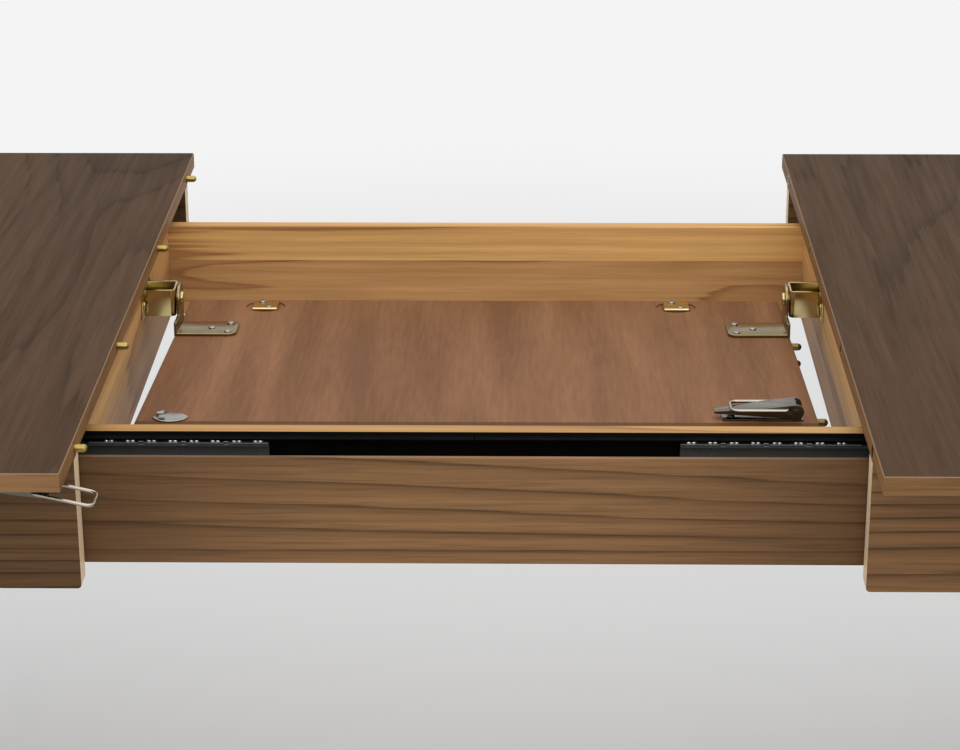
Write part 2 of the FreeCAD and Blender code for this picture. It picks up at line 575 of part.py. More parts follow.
def build_leaf_half(letter, upper):
    """One half of the leaf with its pins, bushes and fold-hinge cups."""
    if upper:
        level = (f"{LEAF_FACE} - top_thickness", LEAF_FACE)
        face, out = LEAF_FACE, 1
    else:
        level = (LOWER_FACE, f"{LOWER_FACE} + top_thickness")
        face, out = LOWER_FACE, -1
    name = f"leaf_{letter}"
    board = block(f"{name}_board", (f"-{LEAF_EDGE}", LEAF_EDGE), (FAR_EDGE, FOLD_EDGE), level)
    board = ease(f"{name}_board_eased", board, "edge_ease")
    middle = f"(({level[0]}) + ({level[1]})) / 2"
    lines = [f"pivot_back - {distance}" for distance in ("pin_near", PIN_FAR)]
    seats = []
    inserts = []
    for y in lines:
        seats.append(pin_seat(f"{name}_pin_seat", 1, LEAF_EDGE, y, middle))
        inserts.append(pin(f"{name}_pin", 1, LEAF_EDGE, y, middle))
        seats.append(bush_seat(f"{name}_bush_seat", -1, f"-{LEAF_EDGE}", y, middle))
        inserts.append(bush(f"{name}_bush", -1, f"-{LEAF_EDGE}", y, middle))
    cups = []
    cup_y = f"{FOLD_EDGE} - hinge_inset"
    for sign in SIDES.values():
        x = f"{sign} * {HINGE_LINE} - hinge_shift"
        body = block(f"{name}_hinge_body", (f"{x} - hinge_body_width / 2", f"{x} + hinge_body_width / 2"),
                     (f"{cup_y} - hinge_body_length / 2", f"{cup_y} + hinge_body_length / 2"),
                     under(face, out, "hinge_recess_depth", "-hinge_rise"))
        body = ease(f"{name}_hinge_body_eased", body, "hinge_body_ease")
        cup = rod(f"{name}_cup", "hinge_cup_radius", "z",
                  under(face, out, "hinge_cup_depth", "hinge_recess_depth / 2"), (x, cup_y))
        cups.append(fuse(f"{name}_hinge", [body, cup]))
        for kind, radius, depth in (("cup_seat", "hinge_cup_radius + seat_clearance",
                                     "hinge_cup_depth + seat_clearance"),
                                    ("hinge_recess", "hinge_recess_radius", "hinge_recess_depth")):
            seats.append(rod(f"{name}_{kind}", radius, "z", under(face, out, depth, "-overrun"),
                             (x, cup_y)))
        if upper:
            slot = "(link_width / 2 + link_clearance)"
            seats.append(block(f"{name}_link_slot", (f"{x} - {slot}", f"{x} + {slot}"),
                               (f"{FOLD_EDGE} - link_slot_depth", f"{FOLD_EDGE} + overrun"),
                               (f"{FOLD_PLANE} + link_slot_low", f"{FOLD_PLANE} + link_slot_high")))
    on_leaf(f"leaf_panel_{letter}", [cut(f"{name}_drilled", board, seats)])
    on_leaf(f"{name}_pins_and_bushes", inserts)
    on_leaf(f"{name}_hinge_cups", cups)
    screws = []
    for sign in SIDES.values():
        for step in (-1, 1):
            x = f"{sign} * {HINGE_LINE} - hinge_shift - {step} * hinge_screw_offset"
            y = f"{cup_y} + {step} * hinge_screw_spacing / 2"
            seat = f"{face} + {out} * hinge_rise"
            screws.append(domed_head(f"{name}_hinge_screw", "screw", (x, y, seat), "z", out))
    return screws


def build_fold_links():
    """Short arc links about the fold line, one in the slot at each fold hinge."""
    fold_z = -size("pivot_drop") - size("top_thickness") - size("leaf_face_gap") / 2
    links = []
    for sign in SIDES.values():
        line = size("frame_length") / 2 - size("leaf_side_gap") - size("hinge_side_inset")
        start = Vector(sign * line - size("hinge_shift") - size("link_width") / 2, size("pivot_back"),
                       fold_z)
        sector = [Part.makeCylinder(size(alias), size("link_width"), start, Vector(1, 0, 0),
                                    size("link_sweep"))
                  for alias in ("link_outer_radius", "link_inner_radius")]
        link = sector[0].cut(sector[1])
        # A sector starts straight up, so it is turned on to its first angle
        link.rotate(start, Vector(1, 0, 0), size("link_start") - 90)
        links.append(shaped("fold_link", link))
    on_leaf("fold_links", links)


# Draw latches, drawn with x inboard from the mating edge, y across and z out of the face that they sit on
def latch_base(name):
    """A base plate with two ears and the lever's pin through them."""
    pin_at = ("lever_pivot_in", "lever_pivot_up")
    half = "latch_base_width / 2"
    pieces = [block(f"{name}_plate", ("latch_base_start", "latch_base_start + latch_base_length"),
                    (f"-{half}", half),
                    ("0", "latch_base_sheet"))]
    for sign in (-1, 1):
        over = mirrored(sign, (f"{half} - ear_sheet", half))
        pieces.append(block(f"{name}_ear", ("lever_pivot_in - ear_radius", "lever_pivot_in + ear_radius"),
                            over,
                            ("0", "lever_pivot_up")))
        pieces.append(rod(f"{name}_ear_top", "ear_radius", "y", over, pin_at))
        head = mirrored(sign, ("lever_width / 2 + running_clearance",
                               "lever_width / 2 + running_clearance + lever_rivet_head"))
        pieces.append(rod(f"{name}_rivet", "lever_rivet_radius", "y", head, pin_at))
    reach = "lever_width / 2 + running_clearance + lever_rivet_head / 2"
    pieces.append(rod(f"{name}_pin", "lever_pin_radius", "y", (f"-({reach})", reach), pin_at))
    pieces.append(rod(f"{name}_screw", "screw_head_radius", "z",
                      ("0", "latch_base_sheet + screw_head_height"),
                      ("latch_screw_in", "0")))
    return fuse(name, pieces)


def latch_lever(name):
    """A pressed lever: two cheeks with a round nose on the pin, under a top plate that runs to a point."""
    pivot = Vector(size("lever_pivot_in"), 0, size("lever_pivot_up"))
    nose = size("lever_nose_radius")
    wall = size("lever_sheet")
    tip = pivot.x + size("lever_length")
    heel = pivot.x + size("lever_heel")
    top = Vector(pivot.x, 0, pivot.z + nose)
    bottom = Vector(pivot.x, 0, pivot.z - nose)
    corners = [bottom, Vector(heel, 0, size("lever_heel_up")), Vector(tip, 0, size("lever_tip_bottom")),
               Vector(tip, 0, size("lever_tip_height")), top]
    edges = [Part.LineSegment(a, b).toShape() for a, b in zip(corners, corners[1:])]
    edges.append(Part.Arc(top, Vector(pivot.x - nose, 0, pivot.z), bottom).toShape())
    width = size("lever_width")
    side_view = Part.Face(Part.Wire(edges))
    side_view.translate(Vector(0, -width / 2, 0))
    whole = side_view.extrude(Vector(0, width, 0))
    shoulder = pivot.x + size("lever_shoulder")
    tip_half = size("lever_tip_width") / 2
    start = pivot.x - nose - size("overrun")
    plan = [Vector(start, -width / 2, 0), Vector(shoulder, -width / 2, 0), Vector(tip, -tip_half, 0),
            Vector(tip, tip_half, 0), Vector(shoulder, width / 2, 0), Vector(start, width / 2, 0)]
    whole = whole.common(prism(plan, 2 * (top.z + size("overrun")), Vector(0, 0, 1)))
    # The hollow under the top plate is open at the nose and narrows with the plan
    end = tip - size("lever_hollow_end")
    fall = (top.z - size("lever_tip_height")) / size("lever_length")
    sky = top.z + size("overrun")
    below = -size("overrun")
    hollow_side = [Vector(start, 0, below), Vector(start, 0, sky), Vector(pivot.x, 0, sky),
                   Vector(pivot.x, 0, top.z - wall), Vector(end, 0, top.z - wall - fall * (end - pivot.x)),
                   Vector(end, 0, below)]
    hollow = prism(hollow_side, width - 2 * wall, Vector(0, 1, 0))
    inset_plan = [Vector(p.x, p.y - math.copysign(wall, p.y), 0) for p in plan]
    hollow = hollow.common(prism(inset_plan, 2 * sky, Vector(0, 0, 1)))
    lever = whole.cut(hollow)
    for centre_x, centre_z, radius in ((pivot.x, pivot.z, size("lever_pin_radius")),
                                       (size("bail_pivot_in"), size("bail_pivot_up"),
                                        size("bail_wire_radius"))):
        hole = Part.makeCylinder(radius + size("running_clearance"), width + 2 * size("overrun"),
                                 Vector(centre_x, -width / 2 - size("overrun"), centre_z), Vector(0, 1, 0))
        lever = lever.cut(hole)
    return shaped(name, lever)


def rounded_path(points, radii):
    """Straight runs between points, joined by tangent arcs of the given radii."""
    edges = []
    start = points[0]
    for before, corner, after, radius in zip(points, points[1:], points[2:], radii):
        back = (before - corner).normalize()
        onward = (after - corner).normalize()
        half = back.getAngle(onward) / 2
        reach = radius / math.tan(half)
        middle = (back + onward).normalize()
        centre = corner + middle * (radius / math.sin(half))
        edges.append(Part.LineSegment(start, corner + back * reach).toShape())
        edges.append(Part.Arc(corner + back * reach, centre - middle * radius,
                              corner + onward * reach).toShape())
        start = corner + onward * reach
    edges.append(Part.LineSegment(start, points[-1]).toShape())
    return Part.Wire(edges)


def latch_bail(name, angle):
    """A wire bail whose ends turn in through the lever's cheeks; angle lifts it from the mating side."""
    half = size("bail_width") / 2
    reach = size("bail_length")
    inner = half - size("bail_end_reach")
    points = [Vector(0, -inner, 0), Vector(0, -half, 0), Vector(-reach, -half, 0), Vector(-reach, half, 0),
              Vector(0, half, 0), Vector(0, inner, 0)]
    elbow, corner = size("bail_elbow"), size("bail_corner")
    path = rounded_path(points, (elbow, corner, corner, elbow))
    wire = Part.Wire(Part.makeCircle(size("bail_wire_radius"), points[0], Vector(0, -1, 0)))
    bail = shaped(name, path.makePipeShell([wire], True, False))
    turned(bail, Vector(0, 1, 0), angle)
    return put(bail, "bail_pivot_in", "0", "bail_pivot_up")


def strike(name):
    """An eye-shaped plate with an upright hook whose lip turns inboard."""
    round_radius = "((strike_length ^ 2 + strike_width ^ 2) / (4 * strike_width))"
    offset = f"({round_radius} - strike_width / 2)"
    discs = [rod(f"{name}_disc", round_radius, "z", ("0", "strike_sheet"),
                 ("strike_inset", f"{sign} * {offset}"))
             for sign in (-1, 1)]
    eye = doc.addObject("Part::Common", f"{name}_eye")
    eye.Base, eye.Tool = discs
    over = ("-hook_width / 2", "hook_width / 2")
    tab = block(f"{name}_tab", ("hook_inset", "hook_inset + hook_sheet"), over, ("0", "hook_height"))
    lip = block(f"{name}_lip", ("hook_inset", "hook_inset + hook_lip"), over,
                ("hook_height - hook_sheet", "hook_height"))
    return fuse(name, [eye, tab, lip])


def laid(name, piece, axis, angle, x, y, z):
    """Turn a piece of hardware onto its face and put it there."""
    holder = group(name, [piece])
    turned(holder, axis, angle)
    return put(holder, x, y, z)


UPSIDE_DOWN_TO_LEFT = (Vector(0, 1, 0), 180)
UPSIDE_DOWN_TO_RIGHT = (Vector(1, 0, 0), 180)
UPRIGHT_TO_LEFT = (Vector(0, 0, 1), 180)
UPRIGHT_TO_RIGHT = (Vector(0, 0, 1), 0)


def build_top_hardware():
    """Draw latches under the left half and strikes under the right half, in the overhangs."""
    bases = []
    strikes = []
    for face, fsign in FACES.items():
        left_at = (f"-{EDGE}", f"{fsign} * {LATCH_LINES[face]}", UNDERSIDE)
        bases.append(laid(f"{face}_base_laid", latch_base(f"{face}_base"), *UPSIDE_DOWN_TO_LEFT, *left_at))
        node(f"left_{face}_latch_lever", laid(f"{face}_lever_laid", latch_lever(f"{face}_lever"),
                                              *UPSIDE_DOWN_TO_LEFT, *left_at))
        node(f"left_{face}_latch_bail", laid(f"{face}_bail_laid",
                                             latch_bail(f"{face}_bail", size(f"{face}_bail_droop")),
                                             *UPSIDE_DOWN_TO_LEFT, *left_at))
        strikes.append(laid(f"{face}_strike_laid", strike(f"{face}_strike"), *UPSIDE_DOWN_TO_RIGHT,
                            EDGE, f"{fsign} * {STRIKE_LINES[face]}", UNDERSIDE))
    node("left_latch_bases", group("base_pair", bases))
    node("right_strikes", group("strike_pair", strikes))


def build_leaf_hardware(letter, upper):
    """A strike at the leaf's left edge and a draw latch, its bail folded back, at the right edge."""
    line = f"pivot_back - {LEAF_LATCH_LINES[letter]}"
    strike_line = f"pivot_back - {LEAF_STRIKE_LINES[letter]}"
    face = LEAF_FACE if upper else LOWER_FACE
    to_left = UPRIGHT_TO_LEFT if upper else UPSIDE_DOWN_TO_LEFT
    to_right = UPRIGHT_TO_RIGHT if upper else UPSIDE_DOWN_TO_RIGHT
    name = f"leaf_{letter}"
    right_at = (LEAF_EDGE, line, face)
    folded = 180
    on_leaf(f"{name}_strike", [laid(f"{name}_strike_laid", strike(f"{name}_strike_piece"), *to_right,
                                     f"-{LEAF_EDGE}", strike_line, face)])
    on_leaf(f"{name}_latch_base", [laid(f"{name}_base_laid", latch_base(f"{name}_base"), *to_left,
                                        *right_at)])
    on_leaf(f"{name}_latch_lever", [laid(f"{name}_lever_laid", latch_lever(f"{name}_lever"), *to_left,
                                         *right_at)])
    on_leaf(f"{name}_latch_bail", [laid(f"{name}_bail_laid", latch_bail(f"{name}_bail", folded), *to_left,
                                        *right_at)])


def check_and_write():
    """Stop on any failed object, then write each sub-part to its own file."""
    doc.recompute()
    failed = [obj.Label for obj in doc.Objects if {"Invalid", "Error"} & set(obj.State)]
    if failed:
        raise RuntimeError("failed objects: " + ", ".join(failed))
    for obj in NODES:
        if obj.Shape.isNull() or not obj.Shape.isValid() or not obj.Shape.Solids:
            raise RuntimeError("bad shape: " + obj.Label)
    os.makedirs("parts", exist_ok=True)
    for obj in NODES:
        Part.makeCompound(obj.Shape.Solids).exportStep(f"parts/{obj.Label}.step")
    print(len(NODES), "nodes written")


for side, sign in SIDES.items():
    build_top(side, sign)
    for face, fsign in FACES.items():
        build_apron(side, sign, face, fsign)
        build_leg(side, sign, face, fsign)
    build_understructure(side, sign)
    build_runners(side, sign)
build_slides()
build_frame()
build_pivots()
build_top_hardware()
leaf_screws = {"a": build_arms(), "b": []}
for letter, upper in (("a", True), ("b", False)):
    leaf_screws[letter] += build_leaf_half(letter, upper)
    build_leaf_hardware(letter, upper)
    on_leaf(f"leaf_{letter}_screws", leaf_screws[letter])
build_fold_links()
check_and_write()
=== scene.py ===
import json
import math
from collections import namedtuple

import bpy
from mathutils import Matrix, Vector


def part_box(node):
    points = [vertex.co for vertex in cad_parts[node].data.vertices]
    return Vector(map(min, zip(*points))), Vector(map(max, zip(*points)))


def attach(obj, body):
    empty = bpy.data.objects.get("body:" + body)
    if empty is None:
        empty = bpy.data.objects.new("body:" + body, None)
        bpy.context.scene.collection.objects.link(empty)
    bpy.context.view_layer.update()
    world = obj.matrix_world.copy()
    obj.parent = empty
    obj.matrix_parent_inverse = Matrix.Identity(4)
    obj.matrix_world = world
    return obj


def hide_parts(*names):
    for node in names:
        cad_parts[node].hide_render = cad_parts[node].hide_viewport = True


bl_info = {
    "name": "Extension table with folding leaf",
    "version": (1, 0, 0),
    "blender": (4, 5, 0),
    "location": "View3D > Sidebar > Table",
    "description": "Dresses the opened extension table in veneer, light wood, brass and steel",
    "category": "Object",
}

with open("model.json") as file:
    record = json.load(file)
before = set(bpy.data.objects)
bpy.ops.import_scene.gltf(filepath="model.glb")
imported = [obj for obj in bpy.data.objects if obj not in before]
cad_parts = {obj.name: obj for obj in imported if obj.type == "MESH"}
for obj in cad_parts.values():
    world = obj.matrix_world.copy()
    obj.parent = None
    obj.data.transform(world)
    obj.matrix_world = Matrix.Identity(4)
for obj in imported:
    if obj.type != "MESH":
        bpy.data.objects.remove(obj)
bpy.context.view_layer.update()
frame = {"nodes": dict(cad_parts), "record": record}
NODES = frame["nodes"]
SLOTS = {entry["node"]: entry["material_slot"] for entry in frame["record"]["subparts"]}
BODY_OF = {node: body for body, nodes in frame["record"]["behaviour"]["bodies"].items() for node in nodes}

# The photograph's frame and the lens that fits it, in pixels and millimetres
PHOTO_WIDTH = 960
LENS_PIXELS = 2650
SENSOR_WIDTH = 36.0


def colour_property(name, description, default):
    """A colour that a user may change, in linear values."""
    return bpy.props.FloatVectorProperty(name=name, description=description, default=default,
                                         subtype="COLOR", size=3, min=0.0, max=1.0)


def length_property(name, description, default):
    """A length that a user may change, in metres."""
    return bpy.props.FloatProperty(name=name, description=description, default=default, min=0.0,
                                   subtype="DISTANCE", unit="LENGTH")


class TableWoods(bpy.types.PropertyGroup):
    """Colours of the veneers and woods."""
    walnut_dark: colour_property("Walnut, dark", "Dark figure of the top veneer", (0.0365, 0.0203, 0.0108))
    walnut_light: colour_property("Walnut, light", "Light figure of the top veneer",
                                  (0.083, 0.0470, 0.0265))
    # Painted highlight: a pale line along the top's arris
    arris_highlight: colour_property("Arris highlight", "Painted highlight where the top's face meets its edge band",
                           (0.260, 0.170, 0.105))
    band_dark: colour_property("Edge band, dark", "Dark figure of the top's edge bands",
                               (0.150, 0.076, 0.032))
    band_light: colour_property("Edge band, light", "Light figure of the top's edge bands",
                                (0.300, 0.160, 0.072))
    apron_dark: colour_property("Apron, dark", "Dark figure of the apron veneer", (0.062, 0.030, 0.012))
    apron_light: colour_property("Apron, light", "Light figure of the apron veneer", (0.285, 0.150, 0.066))
    end_band: colour_property("Apron end band", "Pale band on the apron ends", (0.760, 0.570, 0.370))
    honey_dark: colour_property("Light wood, dark", "Dark figure of the frame wood", (0.300, 0.136, 0.045))
    honey_light: colour_property("Light wood, light", "Light figure of the frame wood",
                                 (0.780, 0.450, 0.160))
    # Painted shade: the rails' outer faces behind the slides are coloured black
    slide_shade: colour_property("Slide shade", "Black painted shade behind the slides", (0.004, 0.004, 0.004))
    wavy_dark: colour_property("Wavy wood, dark", "Dark figure of the back rail's lower board",
                               (0.250, 0.110, 0.040))
    wavy_light: colour_property("Wavy wood, light", "Light figure of the back rail's lower board",
                                (0.560, 0.300, 0.115))
    backing_dark: colour_property("Leaf backing, dark", "Dark figure of the leaf's underside",
                                  (0.148, 0.064, 0.027))
    backing_light: colour_property("Leaf backing, light", "Light figure of the leaf's underside",
                                   (0.232, 0.108, 0.050))
    # Painted shade: a dark strip along the leaf's outer edge
    edge_shade_colour: colour_property("Leaf edge shade colour", "Painted shade along the leaf's outer edge",
                                    (0.090, 0.040, 0.012))
    seam_share: bpy.props.FloatProperty(
        name="Glue line", description="Height of the back rail's glue line, as a share of the rail",
        default=0.62, min=0.0, max=1.0, subtype="FACTOR")
    edge_shade_width: length_property("Leaf edge shade width", "Width of the painted shade along the leaf's outer edge", 0.046)


class TableMetals(bpy.types.PropertyGroup):
    """Colours of the fittings."""
    brass: colour_property("Brass plate", "Yellow-plated brackets and hinges", (0.53, 0.425, 0.20))
    arm_brass: colour_property("Arm brass", "Olive-plated arms of the leaf", (0.23, 0.18, 0.085))
    pin_brass: colour_property("Pin brass", "Locating pins", (0.33, 0.235, 0.07))
    # Painted shade: the leaf's pins are darkened
    leaf_pin_shade: colour_property("Leaf pin brass", "Leaf pins, darkened as painted shade", (0.15, 0.105, 0.045))
    zinc: colour_property("Bright zinc", "Strikes and screws", (0.33, 0.32, 0.30))
    balls: colour_property("Slide balls", "Ball cages of the slides", (0.78, 0.79, 0.80))
    cage: colour_property("Slide cage", "Flat strips of the ball cages", (0.20, 0.23, 0.25))
    wire: colour_property("Nickel wire", "Latch bails", (0.34, 0.31, 0.26))
    nickel: colour_property("Dark nickel", "Latch levers and bases", (0.135, 0.122, 0.098))
    slide_grey: colour_property("Slide grey", "Slide middle members and bars", (0.075, 0.096, 0.106))
    slide_black: colour_property("Slide black", "Slide channels", (0.002, 0.002, 0.002))
    glide: colour_property("Glide plastic", "Floor glides", (0.02, 0.018, 0.016))


class TableStage(bpy.types.PropertyGroup):
    """The floor, the lights and the camera."""
    floor_near: colour_property("Floor, near", "Pale grey floor under the table", (0.75, 0.75, 0.75))
    floor_far: colour_property("Floor, far", "White floor around the table", (0.905, 0.905, 0.905))
    floor_start: length_property("Floor turns white from",
                                 "How far from the middle the floor starts to whiten", 1.3)
    floor_end: length_property("Floor is white from", "How far from the middle the floor is white", 3.2)
    floor_size: length_property("Floor size", "Side of the square floor", 60.0)
    world_light: bpy.props.FloatProperty(
        name="World light", description="Strength of the even light all round", default=0.5, min=0.0)
    camera_place: bpy.props.FloatVectorProperty(
        name="Camera place", description="Where the photograph was taken from",
        default=(0.0447, -2.3687, 1.5748), subtype="TRANSLATION", unit="LENGTH")
    camera_turn: bpy.props.FloatVectorProperty(
        name="Camera turn", description="Yaw, pitch down and roll", subtype="EULER", unit="ROTATION",
        default=(math.radians(-1.096), math.radians(21.09), math.radians(0.219)))


def deselect_everything():
    """Leave no object selected, so that an operator acts on the new piece alone."""
    if bpy.context.object and bpy.context.object.mode != "OBJECT":
        bpy.ops.object.mode_set(mode="OBJECT")
    bpy.ops.object.select_all(action="DESELECT")


# How squarely a face looks along an axis before it counts as facing it, or as looking straight up
FACING = 0.7
STRAIGHT_UP = 0.99

# The numbers of a Mix node's sockets for values and for colours, because the two share their names
VALUE_SOCKETS, VALUE_RESULT = (2, 3), 0
COLOUR_SOCKETS, COLOUR_RESULT = (6, 7), 2


class Finish:
    """One procedural finish, built node by node."""

    def __init__(self, name):
        self.material = bpy.data.materials.new(name)
        self.material.use_nodes = True
        self.tree = self.material.node_tree
        self.shader = self.tree.nodes["Principled BSDF"]
        self.place = self.add("ShaderNodeTexCoord")
        self.fibres = None

    def add(self, kind, **settings):
        """A new node with its settings."""
        made = self.tree.nodes.new(kind)
        for key, setting in settings.items():
            setattr(made, key, setting)
        return made

    def link(self, source, target):
        """Join an output to an input."""
        self.tree.links.new(source, target)

    def calculate(self, operation, first, second):
        """A Math node on two sockets or numbers."""
        made = self.add("ShaderNodeMath", operation=operation)
        for socket, value in zip(made.inputs, (first, second)):
            if isinstance(value, (int, float)):
                socket.default_value = value
            else:
                self.link(value, socket)
        return made.outputs[0]

    def along(self, axis):
        """The distance from the piece's origin along one of its axes."""
        parts = self.add("ShaderNodeSeparateXYZ")
        self.link(self.place.outputs["Object"], parts.inputs[0])
        return parts.outputs[axis]

    def normal(self, axis):
        """How much a face looks along an axis of the piece, from -1 to 1."""
        parts = self.add("ShaderNodeSeparateXYZ")
        self.link(self.place.outputs["Normal"], parts.inputs[0])
        return parts.outputs[axis]

    def facing(self, axis, threshold=FACING):
        """1 on faces that look along an axis of the piece, either way."""
        return self.calculate("GREATER_THAN", self.calculate("ABSOLUTE", self.normal(axis), 0.0), threshold)

    def looking(self, axis, sign, threshold=FACING):
        """1 on faces that look one way along an axis of the piece."""
        turned = self.calculate("MULTIPLY", self.normal(axis), float(sign))
        return self.calculate("GREATER_THAN", turned, threshold)

    def mixed(self, factor, first, second):
        """Two colours or sockets mixed by a factor socket."""
        made = self.add("ShaderNodeMix", data_type="RGBA")
        self.link(factor, made.inputs["Factor"])
        for number, value in zip(COLOUR_SOCKETS, (first, second)):
            if isinstance(value, bpy.types.NodeSocket):
                self.link(value, made.inputs[number])
            else:
                made.inputs[number].default_value = (*value, 1.0)
        return made.outputs[COLOUR_RESULT]

    def product(self, first, second):
        """Two colours multiplied."""
        made = self.add("ShaderNodeMix", data_type="RGBA", blend_type="MULTIPLY")
        made.inputs["Factor"].default_value = 1.0
        for number, value in zip(COLOUR_SOCKETS, (first, second)):
            self.link(value, made.inputs[number])
        return made.outputs[COLOUR_RESULT]

    def noise(self, scale, fineness, detail, distortion, shift=(0.0, 0.0, 0.0)):
        """Noise stretched by a scale along each axis."""
        mapping = self.add("ShaderNodeMapping")
        mapping.inputs["Scale"].default_value = scale
        mapping.inputs["Location"].default_value = shift
        self.link(self.place.outputs["Object"], mapping.inputs["Vector"])
        made = self.add("ShaderNodeTexNoise")
        made.inputs["Scale"].default_value = fineness
        made.inputs["Detail"].default_value = detail
        made.inputs["Distortion"].default_value = distortion
        self.link(mapping.outputs[0], made.inputs["Vector"])
        return made.outputs["Fac"]

    def shared(self, share, first, second):
        """Two values mixed by a fixed share of the second."""
        made = self.add("ShaderNodeMix")
        made.inputs["Factor"].default_value = share
        for number, value in zip(VALUE_SOCKETS, (first, second)):
            self.link(value, made.inputs[number])
        return made.outputs[VALUE_RESULT]

    def ramp(self, factor, stops):
        """A colour ramp through (place, colour) stops."""
        made = self.add("ShaderNodeValToRGB")
        elements = made.color_ramp.elements
        while len(elements) < len(stops):
            elements.new(0.5)
        for element, (at, colour) in zip(elements, stops):
            element.position = at
            element.color = (*colour, 1.0)
        self.link(factor, made.inputs["Fac"])
        return made.outputs["Color"]


# The axes' numbers, so that a figure can be drawn out along one of them
GRAIN_AXES = {"x": 0, "y": 1, "z": 2}

# A wood's figure, each scale in waves a metre across the grain and each stretch the share of it along the
# grain: growth rings are the contour lines of a smooth field, with fibres and pores over them. The drift
# is the rings a metre that cross the grain evenly. A ring's tones run from one growth line to the next,
# and the fibres roughen its line.
Figure = namedtuple("Figure", "ring_scale ring_stretch rings ring_drift ring_share "
                              "fibre_scale fibre_stretch fibre_share pores")
TOP_FIGURE = Figure(5.0, 0.22, 9.0, 0.0, 0.40, 150.0, 0.04, 0.45, 0.14)
APRON_FIGURE = Figure(6.0, 0.06, 9.0, 52.0, 0.55, 220.0, 0.012, 0.45, 0.20)
BAND_FIGURE = Figure(30.0, 0.03, 4.0, 0.0, 0.30, 260.0, 0.03, 0.45, 0.20)
RAIL_FIGURE = Figure(9.0, 0.05, 8.0, 0.0, 0.50, 160.0, 0.02, 0.45, 0.08)
WAVY_FIGURE = Figure(14.0, 0.14, 7.0, 0.0, 0.50, 160.0, 0.03, 0.45, 0.10)
BACKING_FIGURE = Figure(24.0, 0.05, 3.0, 0.0, 0.15, 260.0, 0.006, 0.25, 0.05)
RING_TONES = ((0.0, 0.55), (0.45, 0.58), (0.8, 0.50), (0.95, 0.30), (1.0, 0.55))
RING_ROUGHNESS = 0.35
PORE_SCALE = 520.0
PORE_STRETCH = 0.03

# Detail and distortion of the noise for rings, fibres and pores, and for patches and marks on metal
RING_NOISE = (1.0, 0.25)
FIBRE_NOISE = (3.0, 0.2)
PORE_NOISE = (2.0, 0.1)
PATCH_NOISE = (1.0, 0.0)
MARK_NOISE = (2.0, 0.0)

# Where the dark and the light colour of a board, and the pores and the clear wood, lie on the noise
DARK_AT, LIGHT_AT = 0.36, 0.62
PORE_AT, CLEAR_AT = 0.34, 0.52

# Roughness and specular level of each kind of board, the roughness's spread, and the relief in metres
VENEER_SHEEN = (0.45, 0.02)
APRON_SHEEN = (0.45, 0.1)
FRAME_SHEEN = (0.5, 0.1)
LEAF_SHEEN = (0.5, 0.06)
SHEEN_SPREAD = 0.2
RELIEF = 0.00015

# The painted arris highlight falls on the faces between these two, by how much they look up or down
ARRIS_HIGHLIGHT_FROM, ARRIS_HIGHLIGHT_TO = 0.3, 0.92

# Places in the noise that the boards are cut from, and steps between them, so that no two are alike
TOP_STEP = 0.37
APRON_STEP_ALONG, APRON_STEP_THROUGH, APRON_STEP_UP = 0.6, 0.21, 0.13
FASCIA_ALONG, FASCIA_UP = 0.3, 0.4
FASCIA_STEP = 0.17
LOWER_PLACE = (0.2, 0.0, 0.0)
UPPER_PLACE = (0.5, 0.0, 0.0)

# How light single boards are, against the others of their kind; the left aprons' darker tone is painted
# shade
LEFT_APRON_SHADE = 0.52
FRONT_RAIL_TONE = 0.72

# The cross rails carry painted shade, grey in a share at the bottom, and are honey-coloured in a share at
# the top
SHADE_SHARE = 0.35
HONEY_SHARE = 0.15
SHADE_TONE = 0.75

# The fascias carry painted shade: light up to the first distance from the middle, and darkest from the
# second
FASCIA_LIGHT_REACH = 0.08
FASCIA_DARK_REACH = 0.34
FASCIA_END_SHADE = 0.5

# Copies of CAD nodes are merged and flattened first, and then rounded at their sharp edges, by metres
# for each ending of a node's name
MERGE_DISTANCE = 0.00001
FLAT_ANGLE = math.radians(0.5)
SHARP_ANGLE = math.radians(35.0)
ROUNDING_SEGMENTS = 3
ROUNDINGS = {"_lever": 0.0009, "_base": 0.0004, "_bases": 0.0004, "_strike": 0.0005, "_strikes": 0.0005,
             "_brackets": 0.0005, "_arms": 0.0006}

# Patches and rubbing marks on metal, in waves a metre, and the marks' depth in metres
PATCH_SCALE = 60.0
PATCH_TONE = 0.88
PATCH_AT, PLATING_AT = 0.36, 0.6
DULL_SHARE, POLISHED_SHARE = 1.4, 0.7
MARK_SCALE = 900.0
MARK_STRETCH = (1.0, 0.15, 0.15)
MARK_STRENGTH = 0.25
MARK_DEPTH = 0.00008

# Roughness, metallic share and specular level of each metal and of the glides' plastic
Sheen = namedtuple("Sheen", "roughness metallic specular", defaults=(1.0, 0.5))
SHEENS = {
    "glide plastic": Sheen(0.6, 0.0),
    "slide grey": Sheen(0.3, 0.4),
    "slide balls": Sheen(0.15, 0.8),
    "slide black": Sheen(0.8, 0.0, 0.04),
    "bright zinc": Sheen(0.22),
    "arm brass": Sheen(0.2),
    "brass plate": Sheen(0.16),
    "dark nickel": Sheen(0.24),
    "pin brass": Sheen(0.28),
    "leaf pin brass in painted shade": Sheen(0.32),
    "nickel wire": Sheen(0.2),
}

# Each light's name, place, size and power, and the point that all of them are turned to
LIGHTS = (("key light", (0.4, 1.2, 3.0), 2.2, 12.0),
          ("front light", (0.5, -3.2, 2.4), 2.6, 16.0),
          ("overhead light", (0.0, -0.7, 2.8), 5.5, 96.0))
LIGHT_AIM = (0.0, 0.0, 0.65)
FLOOR_ROUGHNESS = 0.9


def drawn_out(grain, share):
    """Noise scales that are smaller along the grain, so that the figure runs along it."""
    return tuple(share if number == GRAIN_AXES[grain] else 1.0 for number in range(3))


